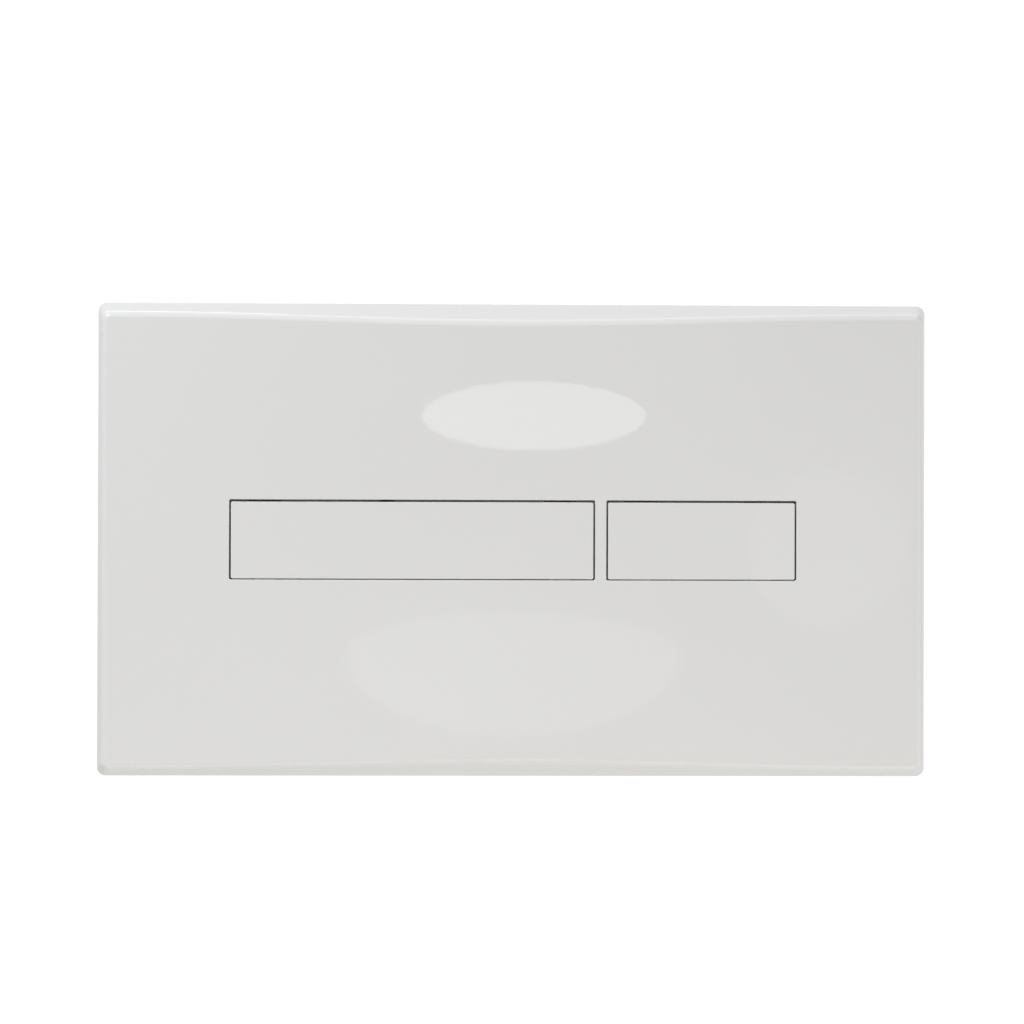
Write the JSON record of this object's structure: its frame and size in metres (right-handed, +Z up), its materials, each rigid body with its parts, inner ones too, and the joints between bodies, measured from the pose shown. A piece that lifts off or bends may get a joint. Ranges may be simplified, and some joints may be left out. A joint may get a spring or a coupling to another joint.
{
  "type": "flush button plate",
  "caption": "Wide white crowned flush plate for a concealed cistern, with a long and a short hinged key that press sprung push rods.",
  "frame": {"origin": "middle of the plate on the wall's plane, midway between the fixing rods", "axes": "+X to the right along the plate, +Y into the wall, +Z up; the crowned front faces -Y"},
  "size_m": [0.25, 0.08, 0.1424],
  "materials": {
    "white_gloss": "gloss",
    "grey_moulding": "satin",
    "black_moulding": "satin",
    "plated_steel": "satin",
    "spring_steel": "satin"
  },
  "bodies": {
    "plate": {"cover_plate": "white_gloss", "mounting_frame": "grey_moulding", "fixing_rods": "plated_steel", "fixing_washers": "plated_steel", "fixing_nuts": "black_moulding", "long_hinge_pin": "plated_steel", "long_return_spring": "spring_steel", "long_rod_spring": "spring_steel", "short_hinge_pin": "plated_steel", "short_return_spring": "spring_steel", "short_rod_spring": "spring_steel"},
    "long_key": {"long_key": "white_gloss"},
    "long_push_rod": {"long_push_rod": "plated_steel", "long_thrust_cap": "black_moulding", "long_lock_nut": "plated_steel", "long_retaining_clip": "spring_steel"},
    "short_key": {"short_key": "white_gloss"},
    "short_push_rod": {"short_push_rod": "plated_steel", "short_thrust_cap": "black_moulding", "short_lock_nut": "plated_steel", "short_retaining_clip": "spring_steel"}
  },
  "joints": [
    {"name": "long_key_hinge", "type": "hinge", "parent": "plate", "child": "long_key", "pos_m": [-0.03025, -0.00653, -0.01575], "axis": [-1, 0, 0], "range_deg": [0, 15], "stiffness_Nm_per_rad": 0.15, "springref_deg": -11.46, "deforming": ["long_return_spring"]},
    {"name": "long_rod_slide", "type": "slide", "parent": "plate", "child": "long_push_rod", "axis": [0, 1, 0], "range_m": [0, 0.00525], "deforming": ["long_rod_spring"]},
    {"name": "short_key_hinge", "type": "hinge", "parent": "plate", "child": "short_key", "pos_m": [0.0563, -0.00653, -0.01575], "axis": [-1, 0, 0], "range_deg": [0, 15], "stiffness_Nm_per_rad": 0.15, "springref_deg": -11.46, "deforming": ["short_return_spring"]},
    {"name": "short_rod_slide", "type": "slide", "parent": "plate", "child": "short_push_rod", "axis": [0, 1, 0], "range_m": [0, 0.00525], "deforming": ["short_rod_spring"]}
  ],
  "couplings": [
    {"joint": "long_key_hinge", "follows": "long_rod_slide", "rad_per_m": 49.875},
    {"joint": "short_key_hinge", "follows": "short_rod_slide", "rad_per_m": 49.875}
  ]
}
